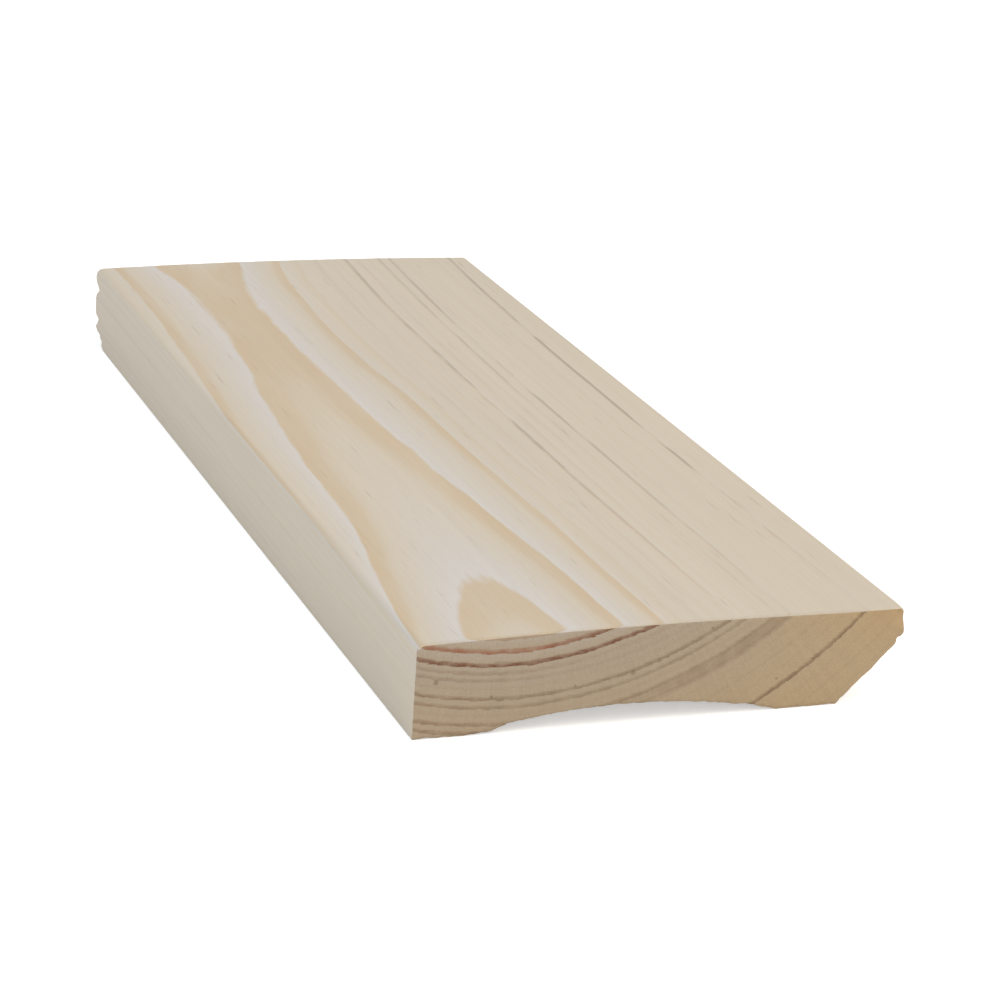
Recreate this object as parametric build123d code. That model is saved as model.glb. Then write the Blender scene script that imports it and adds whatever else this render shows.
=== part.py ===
from build123d import *
import os

# A short length of skirting board in planed pine, one piece of wood, lying face up on its back.
# X runs along the grain, Y across the width, and Z through the thickness. Sizes are in millimetres.
# The origin is under the middle of the board, on the plane that the back rests on.
# On a wall, the square edge at -Y is uppermost, and the edge at +Y stands on the floor.

# Overall size
board_length = 180.0
board_width = 70.0
full_thickness = 14.0

# The face has a slight crown across its width, and its long edges are eased
face_crown = 0.5
upper_arris_radius = 1.2
floor_arris_radius = 0.8

# The back has a wide, shallow relief, cut as one arc between two flat lands
upper_land_width = 7.4
lower_land_width = 8.8
relief_depth = 2.6

# A 45 degree bevel behind the floor edge leaves only its front part to meet the floor
bevel_size = 9.2
bevel_arris_radius = 0.4

# Places worked out from the sizes above
half_width = board_width / 2
edge_thickness = full_thickness - face_crown
relief_start = -half_width + upper_land_width
bevel_start = half_width - bevel_size
relief_end = bevel_start - lower_land_width

# Long corners of the section that are eased, each with its radius
eased_corners = [
    ((-half_width, edge_thickness), upper_arris_radius),
    ((half_width, edge_thickness), floor_arris_radius),
    ((half_width, bevel_size), bevel_arris_radius),
]


def make_section():
    """The section across the grain, in the plane of Y and Z."""
    with BuildSketch(Plane.YZ) as section:
        with BuildLine():
            Line((-half_width, 0), (relief_start, 0))
            SagittaArc((relief_start, 0), (relief_end, 0), relief_depth)
            Line((relief_end, 0), (bevel_start, 0))
            Line((bevel_start, 0), (half_width, bevel_size))
            Line((half_width, bevel_size), (half_width, edge_thickness))
            SagittaArc((half_width, edge_thickness), (-half_width, edge_thickness), -face_crown)
            Line((-half_width, edge_thickness), (-half_width, 0))
        make_face()
        for corner, radius in eased_corners:
            fillet(section.vertices().sort_by_distance(corner)[0], radius)
    return section.sketch


def make_board():
    """The board, with its section carried straight from one sawn end to the other."""
    return extrude(make_section(), board_length / 2, dir=(1, 0, 0), both=True)


os.makedirs("parts", exist_ok=True)
board = make_board()
board.label = "skirting_board"
export_step(board, "parts/skirting_board.step")
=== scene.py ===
import math
import bpy
from mathutils import Matrix, Vector


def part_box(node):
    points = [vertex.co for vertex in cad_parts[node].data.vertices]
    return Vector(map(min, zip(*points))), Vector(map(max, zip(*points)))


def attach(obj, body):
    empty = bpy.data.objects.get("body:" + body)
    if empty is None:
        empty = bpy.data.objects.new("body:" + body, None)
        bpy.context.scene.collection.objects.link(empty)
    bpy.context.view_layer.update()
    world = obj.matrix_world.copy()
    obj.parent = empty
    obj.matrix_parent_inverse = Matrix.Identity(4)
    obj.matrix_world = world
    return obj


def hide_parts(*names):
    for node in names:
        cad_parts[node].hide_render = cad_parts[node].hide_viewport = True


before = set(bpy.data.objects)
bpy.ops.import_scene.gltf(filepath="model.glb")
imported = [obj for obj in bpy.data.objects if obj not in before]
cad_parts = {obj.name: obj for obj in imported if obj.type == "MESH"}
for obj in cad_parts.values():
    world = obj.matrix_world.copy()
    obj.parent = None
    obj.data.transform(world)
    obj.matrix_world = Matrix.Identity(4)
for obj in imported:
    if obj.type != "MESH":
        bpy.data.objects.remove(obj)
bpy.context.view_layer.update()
print("frame loaded")

mm = 0.001
woodIor = 1.5


def linear(hexColour):  # sRGB hex to the linear colour that the sockets take
    parts = [int(hexColour[i:i + 2], 16) / 255 for i in (1, 3, 5)]
    parts = [c / 12.92 if c <= 0.04045 else ((c + 0.055) / 1.055) ** 2.4 for c in parts]
    return (*parts, 1.0)


def addNode(tree, kind, inputs=None, **settings):  # a node with its settings and its links
    node = tree.nodes.new(kind)
    for setting, value in settings.items():
        setattr(node, setting, value)
    for place, value in (inputs or {}).items():
        if isinstance(value, bpy.types.Node):
            value = value.outputs[0]
        if isinstance(value, bpy.types.NodeSocket):
            tree.links.new(value, node.inputs[place])
        else:
            node.inputs[place].default_value = value
    return node


def startMaterial(name):  # a material with an empty node tree
    material = bpy.data.materials.new(name)
    material.use_nodes = True
    material.node_tree.nodes.clear()
    return material, material.node_tree


# The log that the board was sawn from. Its rings are tubes about the pith, which lies above the
# face and drifts along the board. The inner rings follow one pith line and the outer ones a
# straighter one. All in millimetres, with x from the far end to the near end.
log = {
    "halfLength": 90.0,
    "faceHeight": 13.9,
    # each pith line: its place across the board and its height over the face, along the board
    "acrossSpan": (-24.0, -14.0),
    "depthSpan": (46.0, 51.0),
    "innerAcross": [(-90, -16.6), (-72, -17.5), (-35, -18.8), (-10, -19.8), (15, -20.2), (45, -19.8),
                    (65, -20.1), (90, -21.4)],
    "innerDepth": [(-90, 49.46), (-72, 49.86), (-35, 49.86), (-10, 49.60), (15, 49.29), (45, 48.97),
                   (65, 48.41), (90, 47.55)],
    "outerAcross": [(-90, -18.6), (-30, -20.4), (90, -21.4)],
    "outerDepth": [(-90, 48.1), (-45, 48.5), (-10, 48.3), (20, 48.1), (50, 47.95), (90, 47.55)],
    "outerFrom": (52.5, 57.5),  # radii over which the outer line takes over
    # towards the floor edge some rings are tighter: the innermost ones by one width all along the
    # board, and the ones after them by a width that changes along it
    "tightFrom": (2.0, 14.0),  # this far across from the pith line
    "innermost": (50.2, 51.2),
    "innermostTighter": 0.45,
    "nextUntil": (52.6, 54.0),
    "nextTighter": [(-90, 0.40), (-72, 0.42), (-35, 0.40), (-5, 0.02), (30, 0.02), (52, 0.10), (77, 0.42),
                    (90, 0.32)],
    "nextSpan": (0.0, 0.5),
    "wanderSize": 0.24,  # how far the rings stray
    "wanderScale": (0.02, 0.10, 0.10),
    "wanderDetail": 4.0,
    "wanderRoughness": 0.6,
    "bandMargin": 1.2,  # earlywood drawn on both sides of a group of late bands
    "bandBody": (0.55, 0.75),  # at this share of its width from its outer side, it has this share of its tone
    "edgeWidth": 0.10,  # latewood stops this sharply on its outer side,
    "whiteFade": (0.5, 0.55),  # and this far out, the white wood next to it is down to this share
    "sawnWidth": (0.40, 0.5),  # frayed by the saw, a band is this wide and this share of its own width more
}

# Each late band: the radius of its sharp outer side, its width, how dark it is on the face and
# on a sawn end, and how white the earlywood is that grew next
lateBands = [
    [(46.9, 0.45, 0.60, 0.30, 0.8), (48.30, 0.58, 0.90, 0.28, 1.0), (50.22, 0.68, 1.00, 0.90, 0.90),
     (52.05, 0.54, 0.95, 1.00, 0.35), (53.15, 0.30, 0.15, 0.30, 0.2)],
    [(54.15, 0.32, 0.20, 0.35, 0.2), (55.3, 0.22, 0.06, 0.08, 0.15), (56.72, 0.36, 0.80, 0.75, 0.2),
     (57.95, 0.36, 0.15, 0.55, 0.15), (59.1, 0.25, 0.05, 0.07, 0.1), (60.38, 0.36, 0.55, 0.60, 0.1)],
    [(61.65, 0.38, 0.75, 0.60, 0.15), (63.4, 0.25, 0.05, 0.05, 0.1), (65.3, 0.28, 0.08, 0.10, 0.1),
     (67.4, 0.28, 0.05, 0.06, 0.1), (69.60, 0.52, 1.00, 1.00, 0.15)],
    [(71.8, 0.25, 0.05, 0.07, 0.0), (73.9, 0.28, 0.08, 0.12, 0.0), (76.2, 0.25, 0.05, 0.07, 0.0)],
]


def alongCurve(tree, along, points, span):  # a value in millimetres that changes along the board
    low, high = span
    share = addNode(tree, "ShaderNodeMapRange", {0: along, 1: -log["halfLength"], 2: log["halfLength"]})
    curve = addNode(tree, "ShaderNodeFloatCurve", {1: share})
    line = curve.mapping.curves[0]
    places = [((x / log["halfLength"] + 1) / 2, (v - low) / (high - low)) for x, v in points]
    line.points[0].location = places[0]
    line.points[-1].location = places[-1]
    for place in places[1:-1]:
        line.points.new(*place)
    curve.mapping.update()
    return addNode(tree, "ShaderNodeMapRange", {0: curve, 3: low, 4: high})


def pithDistance(tree, parts, line):  # how far across and how far altogether a point is from a pith line
    pithY = alongCurve(tree, parts.outputs[0], log[line + "Across"], log["acrossSpan"])
    pithZ = alongCurve(tree, parts.outputs[0], log[line + "Depth"], log["depthSpan"])
    across = addNode(tree, "ShaderNodeMath", {0: parts.outputs[1], 1: pithY}, operation="SUBTRACT")
    below = addNode(tree, "ShaderNodeMath", {0: log["faceHeight"], 1: parts.outputs[2]}, operation="SUBTRACT")
    upwards = addNode(tree, "ShaderNodeMath", {0: below, 1: pithZ}, operation="ADD")
    apart = addNode(tree, "ShaderNodeCombineXYZ", {1: across, 2: upwards})
    return across, addNode(tree, "ShaderNodeVectorMath", {0: apart}, operation="LENGTH").outputs[1]


def ringRadius(tree, place):  # radius at which the wood at a point grew, for a point in millimetres
    parts = addNode(tree, "ShaderNodeSeparateXYZ", {0: place})
    across, inner = pithDistance(tree, parts, "inner")
    outer = pithDistance(tree, parts, "outer")[1]
    outerStart, outerFull = log["outerFrom"]
    share = addNode(tree, "ShaderNodeMapRange", {0: outer, 1: outerStart, 2: outerFull})
    plain = addNode(tree, "ShaderNodeMix", {0: share, 2: inner, 3: outer})

    # the tighter rings
    tightStart, tightFull = log["tightFrom"]
    floorSide = addNode(tree, "ShaderNodeMapRange", {0: across, 1: tightStart, 2: tightFull})
    nextStart, nextFull = log["innermost"]
    nextFade, nextEnd = log["nextUntil"]
    innermost = addNode(tree, "ShaderNodeMapRange", {
        0: inner, 1: nextStart, 2: nextFull, 3: log["innermostTighter"], 4: 0.0})
    nextRise = addNode(tree, "ShaderNodeMapRange", {0: inner, 1: nextStart, 2: nextFull})
    nextFall = addNode(tree, "ShaderNodeMapRange", {0: inner, 1: nextFade, 2: nextEnd, 3: 1.0, 4: 0.0})
    nextRings = addNode(tree, "ShaderNodeMath", {0: nextRise, 1: nextFall}, operation="MULTIPLY")
    nextTighter = alongCurve(tree, parts.outputs[0], log["nextTighter"], log["nextSpan"])
    tighter = addNode(tree, "ShaderNodeMath", {
        0: nextTighter, 1: nextRings, 2: innermost}, operation="MULTIPLY_ADD")
    tightened = addNode(tree, "ShaderNodeMath", {
        0: tighter, 1: floorSide, 2: plain}, operation="MULTIPLY_ADD")

    spread = addNode(tree, "ShaderNodeVectorMath", {0: place, 1: log["wanderScale"]}, operation="MULTIPLY")
    noise = addNode(tree, "ShaderNodeTexNoise", {
        0: spread, 2: 1.0, 3: log["wanderDetail"], 4: log["wanderRoughness"]})
    wander = addNode(tree, "ShaderNodeMapRange", {0: noise, 3: -log["wanderSize"], 4: log["wanderSize"]})
    return addNode(tree, "ShaderNodeMath", {0: tightened, 1: wander}, operation="ADD")


def growthRings(tree, radius, onEnd=True):  # red is 1 in the darkest late band, green in the whitest wood
    bodyPlace, bodyTone = log["bandBody"]
    whitePlace, whiteTone = log["whiteFade"]
    total = None
    for bands in lateBands:
        low = bands[0][0] - log["bandMargin"]
        high = bands[-1][0] + log["bandMargin"]
        share = addNode(tree, "ShaderNodeMapRange", {0: radius, 1: low, 2: high})
        ramp = addNode(tree, "ShaderNodeValToRGB", {0: share})
        stops = ramp.color_ramp.elements
        for stop, position in zip(stops, (0.0, 1.0)):
            stop.position = position
            stop.color = (0, 0, 0, 1)
        for outer, width, faceDark, endDark, white in bands:
            dark = endDark if onEnd else faceDark
            if onEnd:
                width = log["sawnWidth"][0] + log["sawnWidth"][1] * width
            for edge, tone, pale in (
                    (outer - width, 0, 0), (outer - bodyPlace * width, bodyTone * dark, 0), (outer, dark, 0),
                    (outer + log["edgeWidth"], 0, white), (outer + whitePlace, 0, whiteTone * white)):
                stop = stops.new((edge - low) / (high - low))
                stop.color = (tone, pale, 0, 1)
        total = ramp if total is None else addNode(
            tree, "ShaderNodeVectorMath", {0: total, 1: ramp}, operation="MAXIMUM")
    return addNode(tree, "ShaderNodeSeparateXYZ", {0: total})


# Planed Scots pine, untreated: pale cream earlywood, tan late bands that show as flames where the
# rings lie flat and as grey-brown pin lines where they stand up, and a silky low gloss.
planed = {
    "cream": "#D5C7B1",
    "white": "#D7D0C8",  # earlywood that grew just outside a late band
    "tan": "#D0B998",
    "pinLine": "#B0A18A",
    "nearLine": "#C0A78B",  # the same lines close to the near end,
    "nearFrom": (15.0, 75.0),  # over these places along the board
    "resinLine": "#AA9A82",
    "roughness": 0.55,
    "lateRoughness": 0.47,  # hard latewood is planed smoother
    "specular": 0.25,
    # noises long drawn out with the fibres: scale per millimetre, detail, roughness
    "noises": {
        "fibres": ((0.016, 1.7, 1.7), 5.0, 0.62),
        "fineFibres": ((0.05, 5.5, 5.5), 3.0, 0.60),
        "clouds": ((0.012, 0.10, 0.10), 2.0, 0.50),
        "breaks": ((0.060, 0.50, 0.50), 3.0, 0.60),
        "patches": ((0.045, 0.22, 0.22), 2.0, 0.50),
        "wobble": ((0.11, 0.60, 0.60), 3.0, 0.60),
        "resin": ((0.10, 2.6, 2.6), 1.0, 0.40),
    },
    "feather": 0.03,  # the fibres carry the edge of each band to and fro by this much,
    "wobble": 0.10,  # and it wobbles along the board by this much
    "uprightRings": (52.4, 54.5),  # beyond these radii, rings stand up in the face
    "fading": (20.0, 82.0, 0.35),  # pin lines fade between these places, to this share,
    "breaking": (-62.0, -38.0, 0.65, 0.12),  # and break up between these, to these shares in the gaps,
    "gaps": (0.44, 0.56),  # at these levels of noise
    "patches": (0.35, 0.60, 0.70),  # tan bands pale between these levels of noise, to this share
    "edgeOn": (0.6, 0.95, 0.22),  # on the two narrow edges, bands pale to this share
    "resin": (0.70, 0.82, 0.45),  # levels of noise where a resin line starts and is full, and its strength
    "shadeLevels": (0.2, 0.8),
    "shades": {"fibres": (0.96, 1.03), "fineFibres": (0.975, 1.025), "clouds": (0.98, 1.02)},
    "knifePitch": 1.6,  # one ripple for each cut of the planer
    "rippleHeight": 0.05,  # both heights are shares of the bump's depth
    "lateHeight": 0.25,
    "bumpStrength": 0.4,
    "bumpDepth": 0.12,
}


def planedPine():
    material, tree = startMaterial("planedPine")
    where = addNode(tree, "ShaderNodeTexCoord")
    place = addNode(tree, "ShaderNodeVectorMath", {0: where.outputs["Object"], 3: 1 / mm}, operation="SCALE")
    parts = addNode(tree, "ShaderNodeSeparateXYZ", {0: place})
    noises = {}
    for name, (scale, detail, roughness) in planed["noises"].items():
        spread = addNode(tree, "ShaderNodeVectorMath", {0: place, 1: scale}, operation="MULTIPLY")
        noises[name] = addNode(tree, "ShaderNodeTexNoise", {0: spread, 2: 1.0, 3: detail, 4: roughness})
    radius = ringRadius(tree, place)
    unevenRadius = radius
    for name, size in (("fibres", planed["feather"]), ("wobble", planed["wobble"])):
        stray = addNode(tree, "ShaderNodeMapRange", {0: noises[name], 3: -size, 4: size})
        unevenRadius = addNode(tree, "ShaderNodeMath", {0: unevenRadius, 1: stray}, operation="ADD")
    rings = growthRings(tree, unevenRadius, onEnd=False)
    early = addNode(tree, "ShaderNodeMix", {
        0: rings.outputs[1], 6: linear(planed["cream"]), 7: linear(planed["white"])}, data_type="RGBA")

    # late bands: tan where the rings lie flat, and lines where they stand up
    uprightStart, uprightFull = planed["uprightRings"]
    upright = addNode(tree, "ShaderNodeMapRange", {0: radius, 1: uprightStart, 2: uprightFull})
    nearStart, nearFull = planed["nearFrom"]
    nearby = addNode(tree, "ShaderNodeMapRange", {0: parts, 1: nearStart, 2: nearFull})
    lineColour = addNode(tree, "ShaderNodeMix", {
        0: nearby, 6: linear(planed["pinLine"]), 7: linear(planed["nearLine"])}, data_type="RGBA")
    lateColour = addNode(tree, "ShaderNodeMix", {
        0: upright, 6: linear(planed["tan"]), 7: lineColour.outputs[2]}, data_type="RGBA")

    # the lines break and fade along the board, and the tan bands pale in patches
    breakStart, breakEnd, wholeShare, brokenShare = planed["breaking"]
    gapShare = addNode(tree, "ShaderNodeMapRange", {
        0: parts, 1: breakStart, 2: breakEnd, 3: wholeShare, 4: brokenShare})
    gapFull, gapEnd = planed["gaps"]
    kept = addNode(tree, "ShaderNodeMapRange", {
        0: noises["breaks"], 1: gapFull, 2: gapEnd, 3: gapShare, 4: 1.0})
    fadeStart, fadeEnd, fadeShare = planed["fading"]
    fading = addNode(tree, "ShaderNodeMapRange", {0: parts, 1: fadeStart, 2: fadeEnd, 3: 1.0, 4: fadeShare})
    keptThere = addNode(tree, "ShaderNodeMath", {0: kept, 1: fading}, operation="MULTIPLY")
    patchFull, patchEnd, patchShare = planed["patches"]
    patchy = addNode(tree, "ShaderNodeMapRange", {
        0: noises["patches"], 1: patchFull, 2: patchEnd, 3: patchShare, 4: 1.0})
    keep = addNode(tree, "ShaderNodeMix", {0: upright, 2: patchy, 3: keptThere})
    lateTone = addNode(tree, "ShaderNodeMath", {0: rings.outputs[0], 1: keep}, operation="MULTIPLY")
    facing = addNode(tree, "ShaderNodeSeparateXYZ", {0: where.outputs["Normal"]})
    sideways = addNode(tree, "ShaderNodeMath", {0: facing.outputs[1]}, operation="ABSOLUTE")
    edgeStart, edgeFull, edgeShare = planed["edgeOn"]
    onFace = addNode(tree, "ShaderNodeMapRange", {
        0: sideways, 1: edgeStart, 2: edgeFull, 3: 1.0, 4: edgeShare})
    tone = addNode(tree, "ShaderNodeMath", {0: lateTone, 1: onFace}, operation="MULTIPLY")
    wood = addNode(tree, "ShaderNodeMix", {
        0: tone, 6: early.outputs[2], 7: lateColour.outputs[2]}, data_type="RGBA")

    # resin canals are cut lengthwise, as short thin dashes
    resinStart, resinFull, resinStrength = planed["resin"]
    resin = addNode(tree, "ShaderNodeMapRange", {
        0: noises["resin"], 1: resinStart, 2: resinFull, 3: 0.0, 4: resinStrength})
    resinShown = addNode(tree, "ShaderNodeMath", {0: resin, 1: onFace}, operation="MULTIPLY")
    lined = addNode(tree, "ShaderNodeMix", {
        0: resinShown, 6: wood.outputs[2], 7: linear(planed["resinLine"])}, data_type="RGBA")

    # fibres and slow clouds darken and lighten it all a little
    shade = None
    shadeLow, shadeHigh = planed["shadeLevels"]
    for name, (dark, light) in planed["shades"].items():
        oneShade = addNode(tree, "ShaderNodeMapRange", {
            0: noises[name], 1: shadeLow, 2: shadeHigh, 3: dark, 4: light})
        shade = oneShade if shade is None else addNode(
            tree, "ShaderNodeMath", {0: shade, 1: oneShade}, operation="MULTIPLY")
    colour = addNode(tree, "ShaderNodeVectorMath", {0: lined.outputs[2], 3: shade}, operation="SCALE")

    # hard latewood stands a little proud of the earlywood, and the planer leaves faint ripples
    knifeTurn = 2 * math.pi / planed["knifePitch"]
    turn = addNode(tree, "ShaderNodeMath", {0: parts, 1: knifeTurn}, operation="MULTIPLY")
    ripple = addNode(tree, "ShaderNodeMath", {0: turn}, operation="SINE")
    rippled = addNode(tree, "ShaderNodeMath", {
        0: ripple, 1: planed["rippleHeight"], 2: noises["fibres"]}, operation="MULTIPLY_ADD")
    raised = addNode(tree, "ShaderNodeMath", {
        0: tone, 1: planed["lateHeight"], 2: rippled}, operation="MULTIPLY_ADD")
    grain = addNode(tree, "ShaderNodeMath", {0: raised, 1: resin}, operation="SUBTRACT")
    bump = addNode(tree, "ShaderNodeBump", {
        0: planed["bumpStrength"], 1: planed["bumpDepth"] * mm, 3: grain})
    rough = addNode(tree, "ShaderNodeMapRange", {
        0: tone, 3: planed["roughness"], 4: planed["lateRoughness"]})
    surface = addNode(tree, "ShaderNodeBsdfPrincipled", {
        "Base Color": colour, "Roughness": rough, "IOR": woodIor, "Normal": bump,
        "Specular IOR Level": planed["specular"]})
    addNode(tree, "ShaderNodeOutputMaterial", {0: surface})
    return material


# Sawn end grain of the same pine: cut across the fibres it drinks in light, so it is darker and
# browner than the face, dry and rough, with the late bands as thin red-brown arcs.
sawn = {
    "early": "#B9A68D",
    "outer": "#C1A884",  # towards the bark,
    "outerRings": (54.0, 72.0),  # over these radii
    "corner": "#C4A57B",  # by the floor edge and the face,
    "cornerAcross": (12.0, 34.0),  # from here across,
    "cornerHeight": (7.0, 13.5),  # and from here up
    "fresh": "#C2B4A2",  # earlywood just outside a late band,
    "freshShare": 0.6,  # by this share
    "redLine": "#9E6044",  # the late band next to the face,
    "darkLine": "#7A4A31",  # and the one below it,
    "darkRings": (50.7, 51.1),  # from here outwards
    "darkAcross": (-18.0, -11.0),  # the first band is dark too from here across,
    "darkShare": 0.8,  # by this share
    "greyLine": "#8D755B",  # the other bands,
    "greyRings": (52.3, 54.0),  # from here outwards,
    "greyAcross": (-31.0, -20.0),  # and by the square edge, up to here,
    "greyShare": 0.5,  # only by this share
    "resin": "#7F684F",
    "roughness": 0.85,
    "specular": 0.2,
    # noises across the section: scale per millimetre, detail, roughness
    "noises": {
        "fuzz": ((0.0, 0.7, 0.7), 3.0, 0.60),
        "drag": ((0.0, 0.55, 3.6), 2.0, 0.50),
        "streaks": ((0.0, 0.40, 0.40), 4.0, 0.65),
        "pores": ((0.0, 3.2, 3.2), 3.0, 0.60),
    },
    "fuzz": 0.13,  # the saw blurs the rings by this much,
    "drag": 0.30,  # and drags them sideways into short dashes by this much
    "fainter": (0.34, 0.60, 0.55),  # lines are fainter between these levels of noise, down to this share
    "wideBand": (60.3, 62.1),  # two rings run together here, from mid-width to the floor edge
    "wideBlur": 0.25,
    "wideFrom": (-7.0, 2.0),
    "wideTone": 0.42,
    "plainRings": (52.6, 55.8),  # these rings hardly show, from here across to the floor edge
    "plainBlur": 0.3,
    "plainFrom": (-25.0, -10.0),
    "plainShare": 0.7,
    "rayCentre": (0.0, -21.0, 61.5),
    "rayScale": 110.0,
    "rayDetail": 2.0,
    "rayRoughness": 0.5,
    # how rays, pores and streaks darken and lighten it: two levels of noise, and the shade at each
    "shades": {"rays": (0.25, 0.75, 0.965, 1.035), "pores": (0.2, 0.8, 0.92, 1.08),
               "streaks": (0.2, 0.8, 1.03, 0.97)},
    "sawCentre": (0.0, 110.0, -95.0),  # middle of the saw blade
    "sawPitch": 1.1,
    "sawWander": 14.0,  # radians that the marks stray by
    "sawHeight": 0.10,
    "bumpStrength": 0.5,
    "bumpDepth": 0.2,
    # resin canals: place across, height, size
    "canals": [(-4.6, 7.1, 0.55), (-32.2, 7.9, 0.50), (-29.9, 10.1, 0.35), (6.4, 12.6, 0.35),
               (-24.4, 5.3, 0.30), (16.5, 4.6, 0.30), (-12.7, 5.9, 0.25)],
    "canalCore": 0.2,  # share of its size over which a canal is darkest,
    "canalTone": 0.7,  # and how dark
}


def betweenRings(tree, radius, rings, blur):  # 1 between two radii, and 0 beyond them
    start, end = rings
    rise = addNode(tree, "ShaderNodeMapRange", {0: radius, 1: start - blur, 2: start + blur})
    fall = addNode(tree, "ShaderNodeMapRange", {0: radius, 1: end - blur, 2: end + blur, 3: 1.0, 4: 0.0})
    return addNode(tree, "ShaderNodeMath", {0: rise, 1: fall}, operation="MULTIPLY")


def sawnEndGrain():
    material, tree = startMaterial("sawnEndGrain")
    where = addNode(tree, "ShaderNodeTexCoord")
    place = addNode(tree, "ShaderNodeVectorMath", {0: where.outputs["Object"], 3: 1 / mm}, operation="SCALE")
    parts = addNode(tree, "ShaderNodeSeparateXYZ", {0: place})
    across, height = parts.outputs[1], parts.outputs[2]
    section = addNode(tree, "ShaderNodeVectorMath", {0: place, 1: (0, 1, 1)}, operation="MULTIPLY")
    noises = {}
    for name, (scale, detail, roughness) in sawn["noises"].items():
        spread = addNode(tree, "ShaderNodeVectorMath", {0: place, 1: scale}, operation="MULTIPLY")
        noises[name] = addNode(tree, "ShaderNodeTexNoise", {0: spread, 2: 1.0, 3: detail, 4: roughness})
    radius = ringRadius(tree, place)
    fuzzyRadius = radius
    for name in ("fuzz", "drag"):
        stray = addNode(tree, "ShaderNodeMapRange", {0: noises[name], 3: -sawn[name], 4: sawn[name]})
        fuzzyRadius = addNode(tree, "ShaderNodeMath", {0: fuzzyRadius, 1: stray}, operation="ADD")
    rings = growthRings(tree, fuzzyRadius)

    # earlywood, browner towards the bark and by the corner of the face and the floor edge
    barkStart, barkFull = sawn["outerRings"]
    outward = addNode(tree, "ShaderNodeMapRange", {0: radius, 1: barkStart, 2: barkFull})
    early = addNode(tree, "ShaderNodeMix", {
        0: outward, 6: linear(sawn["early"]), 7: linear(sawn["outer"])}, data_type="RGBA")
    edgeStart, edgeFull = sawn["cornerAcross"]
    toEdge = addNode(tree, "ShaderNodeMapRange", {0: across, 1: edgeStart, 2: edgeFull})
    faceStart, faceFull = sawn["cornerHeight"]
    toFace = addNode(tree, "ShaderNodeMapRange", {0: height, 1: faceStart, 2: faceFull})
    toCorner = addNode(tree, "ShaderNodeMath", {0: toEdge, 1: toFace}, operation="MULTIPLY")
    warm = addNode(tree, "ShaderNodeMix", {
        0: toCorner, 6: early.outputs[2], 7: linear(sawn["corner"])}, data_type="RGBA")
    freshShare = addNode(tree, "ShaderNodeMath", {
        0: rings.outputs[1], 1: sawn["freshShare"]}, operation="MULTIPLY")
    lit = addNode(tree, "ShaderNodeMix", {
        0: freshShare, 6: warm.outputs[2], 7: linear(sawn["fresh"])}, data_type="RGBA")

    # each ring line grows darker and fainter along its way
    faintFull, faintEnd, faintShare = sawn["fainter"]
    streakTone = addNode(tree, "ShaderNodeMapRange", {
        0: noises["streaks"], 1: faintFull, 2: faintEnd, 3: faintShare, 4: 1.0})
    plainStart, plainFull = sawn["plainFrom"]
    plainSide = addNode(tree, "ShaderNodeMapRange", {
        0: across, 1: plainStart, 2: plainFull, 4: -sawn["plainShare"]})
    plainBand = betweenRings(tree, radius, sawn["plainRings"], sawn["plainBlur"])
    shown = addNode(tree, "ShaderNodeMath", {0: plainBand, 1: plainSide, 2: 1.0}, operation="MULTIPLY_ADD")
    shownTone = addNode(tree, "ShaderNodeMath", {0: streakTone, 1: shown}, operation="MULTIPLY")
    lineTone = addNode(tree, "ShaderNodeMath", {0: rings, 1: shownTone}, operation="MULTIPLY")
    wideStart, wideFull = sawn["wideFrom"]
    wideSide = addNode(tree, "ShaderNodeMapRange", {
        0: across, 1: wideStart, 2: wideFull, 4: sawn["wideTone"]})
    wideBand = betweenRings(tree, fuzzyRadius, sawn["wideBand"], sawn["wideBlur"])
    wideStreak = addNode(tree, "ShaderNodeMath", {0: wideBand, 1: streakTone}, operation="MULTIPLY")
    wideTone = addNode(tree, "ShaderNodeMath", {0: wideStreak, 1: wideSide}, operation="MULTIPLY")
    late = addNode(tree, "ShaderNodeMath", {0: lineTone, 1: wideTone}, operation="MAXIMUM")

    # red, dark and grey lines
    greyStart, greyFull = sawn["greyRings"]
    greyRings = addNode(tree, "ShaderNodeMapRange", {0: radius, 1: greyStart, 2: greyFull})
    greyFrom, greyTo = sawn["greyAcross"]
    greySide = addNode(tree, "ShaderNodeMapRange", {
        0: across, 1: greyFrom, 2: greyTo, 3: sawn["greyShare"], 4: 1.0})
    greyer = addNode(tree, "ShaderNodeMath", {0: greyRings, 1: greySide}, operation="MULTIPLY")
    darkStart, darkFull = sawn["darkRings"]
    darkRings = addNode(tree, "ShaderNodeMapRange", {0: radius, 1: darkStart, 2: darkFull})
    darkFrom, darkTo = sawn["darkAcross"]
    darkSide = addNode(tree, "ShaderNodeMapRange", {0: across, 1: darkFrom, 2: darkTo, 4: sawn["darkShare"]})
    darker = addNode(tree, "ShaderNodeMath", {0: darkRings, 1: darkSide}, operation="MAXIMUM")
    redLine = addNode(tree, "ShaderNodeMix", {
        0: darker, 6: linear(sawn["redLine"]), 7: linear(sawn["darkLine"])}, data_type="RGBA")
    line = addNode(tree, "ShaderNodeMix", {
        0: greyer, 6: redLine.outputs[2], 7: linear(sawn["greyLine"])}, data_type="RGBA")
    wood = addNode(tree, "ShaderNodeMix", {0: late, 6: lit.outputs[2], 7: line.outputs[2]}, data_type="RGBA")

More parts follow.
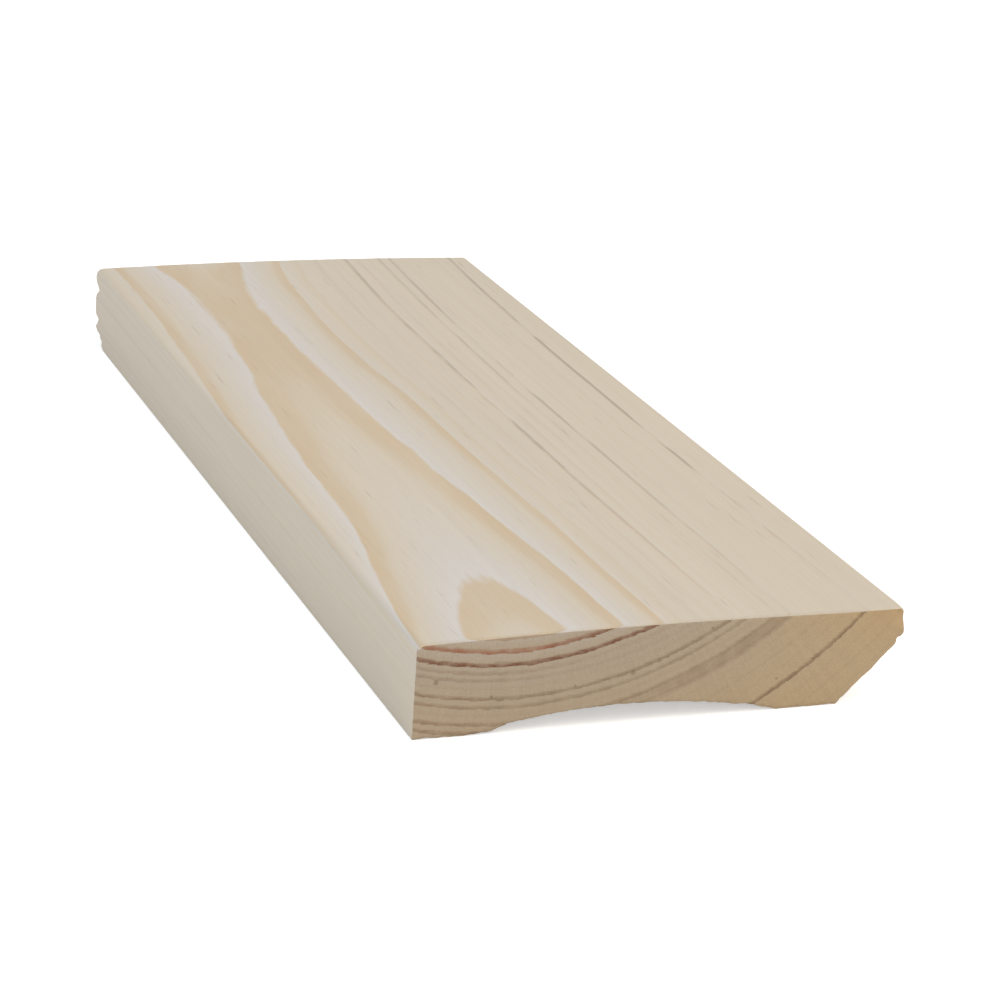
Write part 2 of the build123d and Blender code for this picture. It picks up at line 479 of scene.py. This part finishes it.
    # resin canals are cut across, as dark dots
    resin = None
    for canalAcross, canalHeight, size in sawn["canals"]:
        away = addNode(tree, "ShaderNodeVectorMath", {
            0: section, 1: (0, canalAcross, canalHeight)}, operation="DISTANCE")
        spot = addNode(tree, "ShaderNodeMapRange", {
            0: away.outputs[1], 1: sawn["canalCore"] * size, 2: size, 3: sawn["canalTone"], 4: 0.0},
            interpolation_type="SMOOTHSTEP")
        resin = spot if resin is None else addNode(
            tree, "ShaderNodeMath", {0: resin, 1: spot}, operation="MAXIMUM")
    resinTone = addNode(tree, "ShaderNodeMath", {0: resin, 1: streakTone}, operation="MULTIPLY")
    spotted = addNode(tree, "ShaderNodeMix", {
        0: resinTone, 6: wood.outputs[2], 7: linear(sawn["resin"])}, data_type="RGBA")

    # wood rays, thin and pale, point at the pith
    fromPith = addNode(tree, "ShaderNodeVectorMath", {0: section, 1: sawn["rayCentre"]}, operation="SUBTRACT")
    rayWay = addNode(tree, "ShaderNodeVectorMath", {0: fromPith}, operation="NORMALIZE")
    noises["rays"] = addNode(tree, "ShaderNodeTexNoise", {
        0: rayWay, 2: sawn["rayScale"], 3: sawn["rayDetail"], 4: sawn["rayRoughness"]})
    shade = None
    for name, (lowLevel, highLevel, lowShade, highShade) in sawn["shades"].items():
        oneShade = addNode(tree, "ShaderNodeMapRange", {
            0: noises[name], 1: lowLevel, 2: highLevel, 3: lowShade, 4: highShade})
        shade = oneShade if shade is None else addNode(
            tree, "ShaderNodeMath", {0: shade, 1: oneShade}, operation="MULTIPLY")
    colour = addNode(tree, "ShaderNodeVectorMath", {0: spotted.outputs[2], 3: shade}, operation="SCALE")

    # the saw's teeth leave shallow arcs
    fromSaw = addNode(tree, "ShaderNodeVectorMath", {0: section, 1: sawn["sawCentre"]}, operation="DISTANCE")
    sawTurn = addNode(tree, "ShaderNodeMath", {
        0: fromSaw.outputs[1], 1: 2 * math.pi / sawn["sawPitch"]}, operation="MULTIPLY")
    sawWander = addNode(tree, "ShaderNodeMath", {
        0: noises["streaks"], 1: sawn["sawWander"], 2: sawTurn}, operation="MULTIPLY_ADD")
    sawMark = addNode(tree, "ShaderNodeMath", {0: sawWander}, operation="SINE")
    rough = addNode(tree, "ShaderNodeMath", {
        0: sawMark, 1: sawn["sawHeight"], 2: noises["pores"]}, operation="MULTIPLY_ADD")
    bump = addNode(tree, "ShaderNodeBump", {0: sawn["bumpStrength"], 1: sawn["bumpDepth"] * mm, 3: rough})
    surface = addNode(tree, "ShaderNodeBsdfPrincipled", {
        "Base Color": colour, "Roughness": sawn["roughness"], "IOR": woodIor, "Normal": bump,
        "Specular IOR Level": sawn["specular"]})
    addNode(tree, "ShaderNodeOutputMaterial", {0: surface})
    return material


# The board's section in millimetres, and how finely it is cut up
nodeLow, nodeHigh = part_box("skirting_board")
board = {
    "length": (nodeHigh.x - nodeLow.x) / mm,
    "width": (nodeHigh.y - nodeLow.y) / mm,
    "thickness": (nodeHigh.z - nodeLow.z) / mm,
    "faceCrown": 0.5,
    "upperArris": 1.2,
    "floorArris": 0.8,
    "arrisSteps": 6,
    "upperLand": 7.4,
    "lowerLand": 8.8,
    "reliefDepth": 2.6,
    "bevel": 9.2,
    "backArris": 0.15,  # the back's square corner is worn this much,
    "tipArris": 0.17,  # and the tip of the bevel this much
    "columnStep": 0.36,
    "rows": 40,
    "lengthCuts": 79,
    "endCuts": [(7.0, 2), (2.3, 2)],  # within this far of an end, cut up further
    "endArris": 0.2,  # the rim of each end is eased,
    "sawnRim": 0.9,  # and sawn wood over this share of it,
    "sawnTopRim": 0.3,  # but only this next to the face, where it is as pale as the face,
    "topNormal": 0.35,  # which is where it faces up more than this
    "smoothAngle": 35,  # degrees
    "longEdge": 0.05,  # an edge that reaches further than this along the grain runs along it
    "agree": 0.001,  # places closer than this are the same
}


def arcHeight(offset, halfChord, rise):  # height of a flat arc over its chord
    bend = (halfChord ** 2 + rise ** 2) / (2 * rise)
    return math.sqrt(bend ** 2 - offset ** 2) - (bend - rise)


def faceHeight(y):
    half = board["width"] / 2
    height = board["thickness"] - board["faceCrown"] + arcHeight(y, half, board["faceCrown"])
    for radius, inset in ((board["upperArris"], y + half), (board["floorArris"], half - y)):
        if inset < radius:
            height -= radius - math.sqrt(max(0.0, radius ** 2 - (radius - inset) ** 2))
    return height


def backHeight(y):
    half = board["width"] / 2
    reliefStart = board["upperLand"] - half
    bevelStart = half - board["bevel"]
    reliefEnd = bevelStart - board["lowerLand"]
    if reliefStart < y < reliefEnd:
        halfChord = (reliefEnd - reliefStart) / 2
        return arcHeight(y - reliefStart - halfChord, halfChord, board["reliefDepth"])
    atTip = y > half - 0.01  # the last column only
    height = max(0.0, y - bevelStart) + (board["tipArris"] if atTip else 0.0)
    radius, inset = board["backArris"], y + half
    if inset < radius:
        height += radius - math.sqrt(max(0.0, radius ** 2 - (radius - inset) ** 2))
    return height


def columnPlaces():  # across the board, close together on the two eased edges
    half = board["width"] / 2
    turns = [math.pi / 2 * i / board["arrisSteps"] for i in range(board["arrisSteps"] + 1)]
    left = [-half + board["upperArris"] * (1 - math.cos(a)) for a in turns]
    right = [half - board["floorArris"] * (1 - math.cos(a)) for a in reversed(turns)]
    bevelStart = half - board["bevel"]
    corners = [left[-1], board["upperLand"] - half, bevelStart - board["lowerLand"], bevelStart, right[0]]
    places = left[:-1]
    for start, end in zip(corners, corners[1:]):
        count = round((end - start) / board["columnStep"])
        places += [start + (end - start) * i / count for i in range(count)]
    return places + right


def pick(mode, test):  # selects what passes the test, in edit mode
    bpy.ops.mesh.select_all(action="DESELECT")
    bpy.ops.mesh.select_mode(type=mode)
    bpy.ops.object.mode_set(mode="OBJECT")
    mesh = bpy.context.object.data
    for part in (mesh.vertices if mode == "VERT" else mesh.edges if mode == "EDGE" else mesh.polygons):
        part.select = test(mesh, part)
    bpy.ops.object.mode_set(mode="EDIT")


def makeBoard():
    bpy.ops.object.select_all(action="DESELECT")
    places = columnPlaces()
    columns = len(places) - 1
    halfLength = board["length"] / 2
    bpy.ops.mesh.primitive_grid_add(
        x_subdivisions=board["rows"], y_subdivisions=columns, size=1,
        location=(-halfLength * mm, 0, 0), rotation=(0, math.pi / 2, 0))
    piece = bpy.context.object
    piece.name = "board"
    bpy.ops.object.transform_apply(location=True, rotation=True, scale=True)

    # each upright column of the end is stretched from back to face and moved to its place, but
    # two metres aside, clear of the columns that wait
    aside = 2
    near = 0.2 / columns  # a fifth of the way to the next column
    bpy.ops.object.mode_set(mode="EDIT")
    for i, y in enumerate(places):
        started = i / columns - 0.5
        pick("VERT", lambda mesh, v: abs(v.co.y - started) < near)
        bottom, top = backHeight(y), faceHeight(y)
        bpy.ops.transform.resize(value=(1, 1, (top - bottom) * mm), center_override=(0, 0, 0))
        bpy.ops.transform.translate(value=(0, y * mm - started + aside, (top + bottom) / 2 * mm))
    bpy.ops.mesh.select_all(action="SELECT")
    bpy.ops.transform.translate(value=(0, -aside, 0))
    bpy.ops.mesh.extrude_region_move(TRANSFORM_OT_translate={"value": (board["length"] * mm, 0, 0)})

    # cut up along the grain, finely near the ends
    def alongGrain(mesh, e):
        start, end = (mesh.vertices[v].co for v in e.vertices)
        return abs(start.x - end.x) > board["longEdge"] * mm

    pick("EDGE", alongGrain)
    bpy.ops.mesh.subdivide(number_cuts=board["lengthCuts"])
    for zone, cuts in board["endCuts"]:
        zoneStart = (halfLength - zone) * mm
        pick("EDGE", lambda mesh, e: alongGrain(mesh, e) and min(
            abs(mesh.vertices[v].co.x) for v in e.vertices) > zoneStart)
        bpy.ops.mesh.subdivide(number_cuts=cuts)

    # the rim of each end is eased
    def onRim(mesh, v):
        y, z = v.co.y / mm, v.co.z / mm
        apart = min(abs(z - faceHeight(y)), abs(z - backHeight(y)), abs(abs(y) - board["width"] / 2))
        return apart < board["agree"] and abs(v.co.x) > (halfLength - board["agree"]) * mm

    pick("VERT", onRim)
    bpy.ops.transform.resize(value=(1 - board["endArris"] / halfLength, 1, 1), center_override=(0, 0, 0))
    bpy.ops.mesh.select_all(action="SELECT")
    bpy.ops.mesh.normals_make_consistent(inside=False)
    bpy.ops.object.mode_set(mode="OBJECT")
    return piece


# What the saw did to the ends, in millimetres: they are a little rough, the latewood stands
# proud, and their edges are frayed, more so behind where the saw came out
wear = {
    "roughDepth": 0.10,
    "roughNoise": (0.45, 4.0, 0.6),  # scale per millimetre, detail, roughness
    "lateDepth": 0.05,
    "fadeLength": 3.0,
    "frayLength": 1.6,
    "frayFront": 0.05,
    "frayBack": 0.15,
    "frayFacing": (-0.5, 0.2),  # how far up a side faces where it counts as back, and as front
    "frayNoise": (0.9, 3.0, 0.6),
    "frayLevels": (0.42, 0.68),  # levels of noise over which it frays
    "chipUneven": 0.6,
    "chipFall": (0.3, 1.3),  # share of its reach where a chip starts to ease off, and ends
    # splinters that are gone, or hang on: place, reach each way, and push
    "chips": [
        ((90, 35, 12.4), (3.2, 2.2, 2.2), (-0.45, -0.10, -0.1)),
        ((90, 34.7, 8.9), (1.8, 1.1, 1.0), (-0.2, -0.45, 0.1)),
        ((90, 30.5, 4.9), (1.8, 1.6, 1.6), (0, 0.12, -0.12)),
        ((90, -24.3, 0.7), (2.2, 3.2, 1.6), (0, 0, -0.45)),
        ((90, -33.0, 0), (2.5, 1.8, 1.2), (0, 0, 0.12)),
        ((90, 12.5, 0.6), (1.8, 2.4, 1.3), (0, 0, 0.22)),
        ((-90, -35, 9.8), (5.0, 1.3, 1.7), (0.32, 0.38, 0)),
        ((-90, -35, 9.4), (2.0, 1.0, 0.7), (0.12, 0.14, 0)),
        ((-90, -35, 4.0), (4.4, 1.4, 1.5), (0.34, 0.42, 0)),
        ((-90, -35, 4.5), (2.2, 1.0, 0.6), (0.14, 0.14, 0)),
        ((-90, -35, 0), (7.0, 2.4, 3.0), (0.9, 0.8, 1.1)),
        ((-90, 6.0, 2.4), (2.4, 3.0, 1.4), (0.2, 0, 0.35)),
        ((-90, 31.0, 5.2), (2.2, 2.0, 1.6), (0.2, -0.3, 0.3)),
    ],
}


def sawnRelief():
    tree = bpy.data.node_groups.new("sawnRelief", "GeometryNodeTree")
    for way in ("INPUT", "OUTPUT"):
        tree.interface.new_socket("Geometry", in_out=way, socket_type="NodeSocketGeometry")
    mesh = addNode(tree, "NodeGroupInput")
    position = addNode(tree, "GeometryNodeInputPosition")
    place = addNode(tree, "ShaderNodeVectorMath", {0: position, 3: 1 / mm}, operation="SCALE")
    parts = addNode(tree, "ShaderNodeSeparateXYZ", {0: place})
    side = addNode(tree, "ShaderNodeMath", {0: parts}, operation="SIGN")
    outwards = addNode(tree, "ShaderNodeMath", {0: parts}, operation="ABSOLUTE")
    halfLength = board["length"] / 2

    # the ends, roughened inwards
    late = growthRings(tree, ringRadius(tree, place))
    scale, detail, roughness = wear["roughNoise"]
    rough = addNode(tree, "ShaderNodeTexNoise", {0: place, 2: scale, 3: detail, 4: roughness})
    soft = addNode(tree, "ShaderNodeMapRange", {0: late, 3: -wear["lateDepth"], 4: 0.0})
    depth = addNode(tree, "ShaderNodeMath", {
        0: rough, 1: -wear["roughDepth"], 2: soft}, operation="MULTIPLY_ADD")
    nearEnd = addNode(tree, "ShaderNodeMapRange", {
        0: outwards, 1: halfLength - wear["fadeLength"], 2: halfLength})
    faded = addNode(tree, "ShaderNodeMath", {0: depth, 1: nearEnd}, operation="MULTIPLY")
    push = addNode(tree, "ShaderNodeMath", {0: faded, 1: side}, operation="MULTIPLY")
    total = addNode(tree, "ShaderNodeCombineXYZ", {0: push})

    # the long sides, frayed close to the ends
    normal = addNode(tree, "GeometryNodeInputNormal")
    flat = addNode(tree, "ShaderNodeVectorMath", {0: normal, 1: (0, -1, -1)}, operation="MULTIPLY")
    facing = addNode(tree, "ShaderNodeSeparateXYZ", {0: normal})
    backFacing, frontFacing = wear["frayFacing"]
    amount = addNode(tree, "ShaderNodeMapRange", {
        0: facing.outputs[2], 1: backFacing, 2: frontFacing, 3: wear["frayBack"], 4: wear["frayFront"]})
    scale, detail, roughness = wear["frayNoise"]
    torn = addNode(tree, "ShaderNodeTexNoise", {0: place, 2: scale, 3: detail, 4: roughness})
    tearStart, tearFull = wear["frayLevels"]
    tearing = addNode(tree, "ShaderNodeMapRange", {0: torn, 1: tearStart, 2: tearFull})
    atRim = addNode(tree, "ShaderNodeMapRange", {
        0: outwards, 1: halfLength - wear["frayLength"], 2: halfLength})
    tear = addNode(tree, "ShaderNodeMath", {0: tearing, 1: atRim}, operation="MULTIPLY")
    tearDepth = addNode(tree, "ShaderNodeMath", {0: tear, 1: amount}, operation="MULTIPLY")
    fray = addNode(tree, "ShaderNodeVectorMath", {0: flat, 3: tearDepth}, operation="SCALE")
    total = addNode(tree, "ShaderNodeVectorMath", {0: total, 1: fray}, operation="ADD")

    chipStart, chipEnd = wear["chipFall"]
    for middle, reach, way in wear["chips"]:
        apart = addNode(tree, "ShaderNodeVectorMath", {0: place, 1: middle}, operation="SUBTRACT")
        scaled = addNode(tree, "ShaderNodeVectorMath", {
            0: apart, 1: tuple(1 / size for size in reach)}, operation="MULTIPLY")
        away = addNode(tree, "ShaderNodeVectorMath", {0: scaled}, operation="LENGTH")
        uneven = addNode(tree, "ShaderNodeMath", {
            0: torn, 1: wear["chipUneven"], 2: away.outputs[1]}, operation="MULTIPLY_ADD")
        share = addNode(tree, "ShaderNodeMapRange", {
            0: uneven, 1: chipStart, 2: chipEnd, 3: 1.0, 4: 0.0}, interpolation_type="SMOOTHSTEP")
        chip = addNode(tree, "ShaderNodeVectorMath", {0: way, 3: share}, operation="SCALE")
        total = addNode(tree, "ShaderNodeVectorMath", {0: total, 1: chip}, operation="ADD")

    offset = addNode(tree, "ShaderNodeVectorMath", {0: total, 3: mm}, operation="SCALE")
    moved = addNode(tree, "GeometryNodeSetPosition", {0: mesh, 3: offset})
    addNode(tree, "NodeGroupOutput", {0: moved})
    return tree


piece = makeBoard()
print("board", len(piece.data.vertices), "points")
for material in (planedPine(), sawnEndGrain()):
    piece.data.materials.append(material)
for face in piece.data.polygons:
    inset = board["length"] / 2 - abs(face.center.x) / mm
    rim = board["sawnTopRim"] if face.normal.z > board["topNormal"] else board["sawnRim"]
    face.material_index = 1 if inset < board["endArris"] * rim else 0
relief = piece.modifiers.new("sawnRelief", "NODES")
relief.node_group = sawnRelief()
bpy.ops.object.modifier_apply(modifier=relief.name)
bpy.ops.object.shade_smooth_by_angle(angle=math.radians(board["smoothAngle"]))
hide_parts("skirting_board")
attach(piece, "root")
print("board finished")

# A white floor and soft studio light. The glow only lifts the floor to white for the camera.
studio = {
    "floorSize": 6.0,
    "floorColour": "#F2F2F2",
    "floorGlow": 0.45,
    "skyColour": "#F4F8FF",
    "skyStrength": 0.70,
    "lamps": [
        # name, place in metres, size in metres, watts, colour
        ("keyLamp", (0.45, 0.55, 1.0), 0.8, 5.6, "#FFF1DC"),
        ("fillLamp", (0.0, -0.9, 0.6), 0.8, 2.2, "#E0F1FF"),
    ],
}


def makeFloor():
    bpy.ops.object.select_all(action="DESELECT")
    bpy.ops.mesh.primitive_plane_add(size=studio["floorSize"], location=(0, 0, 0))
    floor = bpy.context.object
    floor.name = "floor"
    material, tree = startMaterial("whiteFloor")
    paint = addNode(tree, "ShaderNodeBsdfDiffuse", {0: linear(studio["floorColour"])})
    seen = addNode(tree, "ShaderNodeLightPath")
    glow = addNode(tree, "ShaderNodeMath", {0: seen.outputs["Is Camera Ray"], 1: studio["floorGlow"]},
                   operation="MULTIPLY")
    lift = addNode(tree, "ShaderNodeEmission", {1: glow})
    both = addNode(tree, "ShaderNodeAddShader", {0: paint, 1: lift})
    addNode(tree, "ShaderNodeOutputMaterial", {0: both})
    floor.data.materials.append(material)


def makeLight():
    for name, place, size, watts, colour in studio["lamps"]:
        bpy.ops.object.light_add(type="AREA", location=place)
        lamp = bpy.context.object
        lamp.name = name
        lamp.data.size = size
        lamp.data.energy = watts
        lamp.data.color = linear(colour)[:3]
        lamp.rotation_euler = Vector(place).to_track_quat("Z", "Y").to_euler()
    world = bpy.data.worlds.new("studio")
    bpy.context.scene.world = world
    world.use_nodes = True
    tree = world.node_tree
    tree.nodes.clear()
    seen = addNode(tree, "ShaderNodeLightPath")
    strength = addNode(tree, "ShaderNodeMapRange", {
        0: seen.outputs["Is Camera Ray"], 3: studio["skyStrength"], 4: 1.0})
    tint = addNode(tree, "ShaderNodeMix", {
        0: seen.outputs["Is Camera Ray"], 6: linear(studio["skyColour"]), 7: (1, 1, 1, 1)}, data_type="RGBA")
    sky = addNode(tree, "ShaderNodeBackground", {0: tint.outputs[2], 1: strength})
    addNode(tree, "ShaderNodeOutputWorld", {0: sky})


makeFloor()
makeLight()
print("studio ready")

# The photograph's camera: place in metres, angles in degrees, lens and sensor in millimetres
view = {
    "place": (0.44171, -0.16229, 0.16457),
    "tilt": 70.722,
    "turn": 68.696,
    "roll": 3.952,
    "lens": 113.4,
    "sensor": 36.0,
    "nearest": 0.01,
}


def makeCamera():
    camera = bpy.data.objects.new("camera", bpy.data.cameras.new("camera"))
    bpy.context.scene.collection.objects.link(camera)
    camera.data.lens = view["lens"]
    camera.data.sensor_width = view["sensor"]
    camera.data.clip_start = view["nearest"]
    turn = Matrix.Rotation(math.radians(view["turn"]), 4, "Z")
    tilt = Matrix.Rotation(math.radians(view["tilt"]), 4, "X")
    roll = Matrix.Rotation(math.radians(view["roll"]), 4, "Z")
    camera.matrix_world = Matrix.Translation(view["place"]) @ turn @ tilt @ roll
    bpy.context.scene.camera = camera


makeCamera()
bpy.context.scene.view_settings.view_transform = "Standard"
print("camera set")
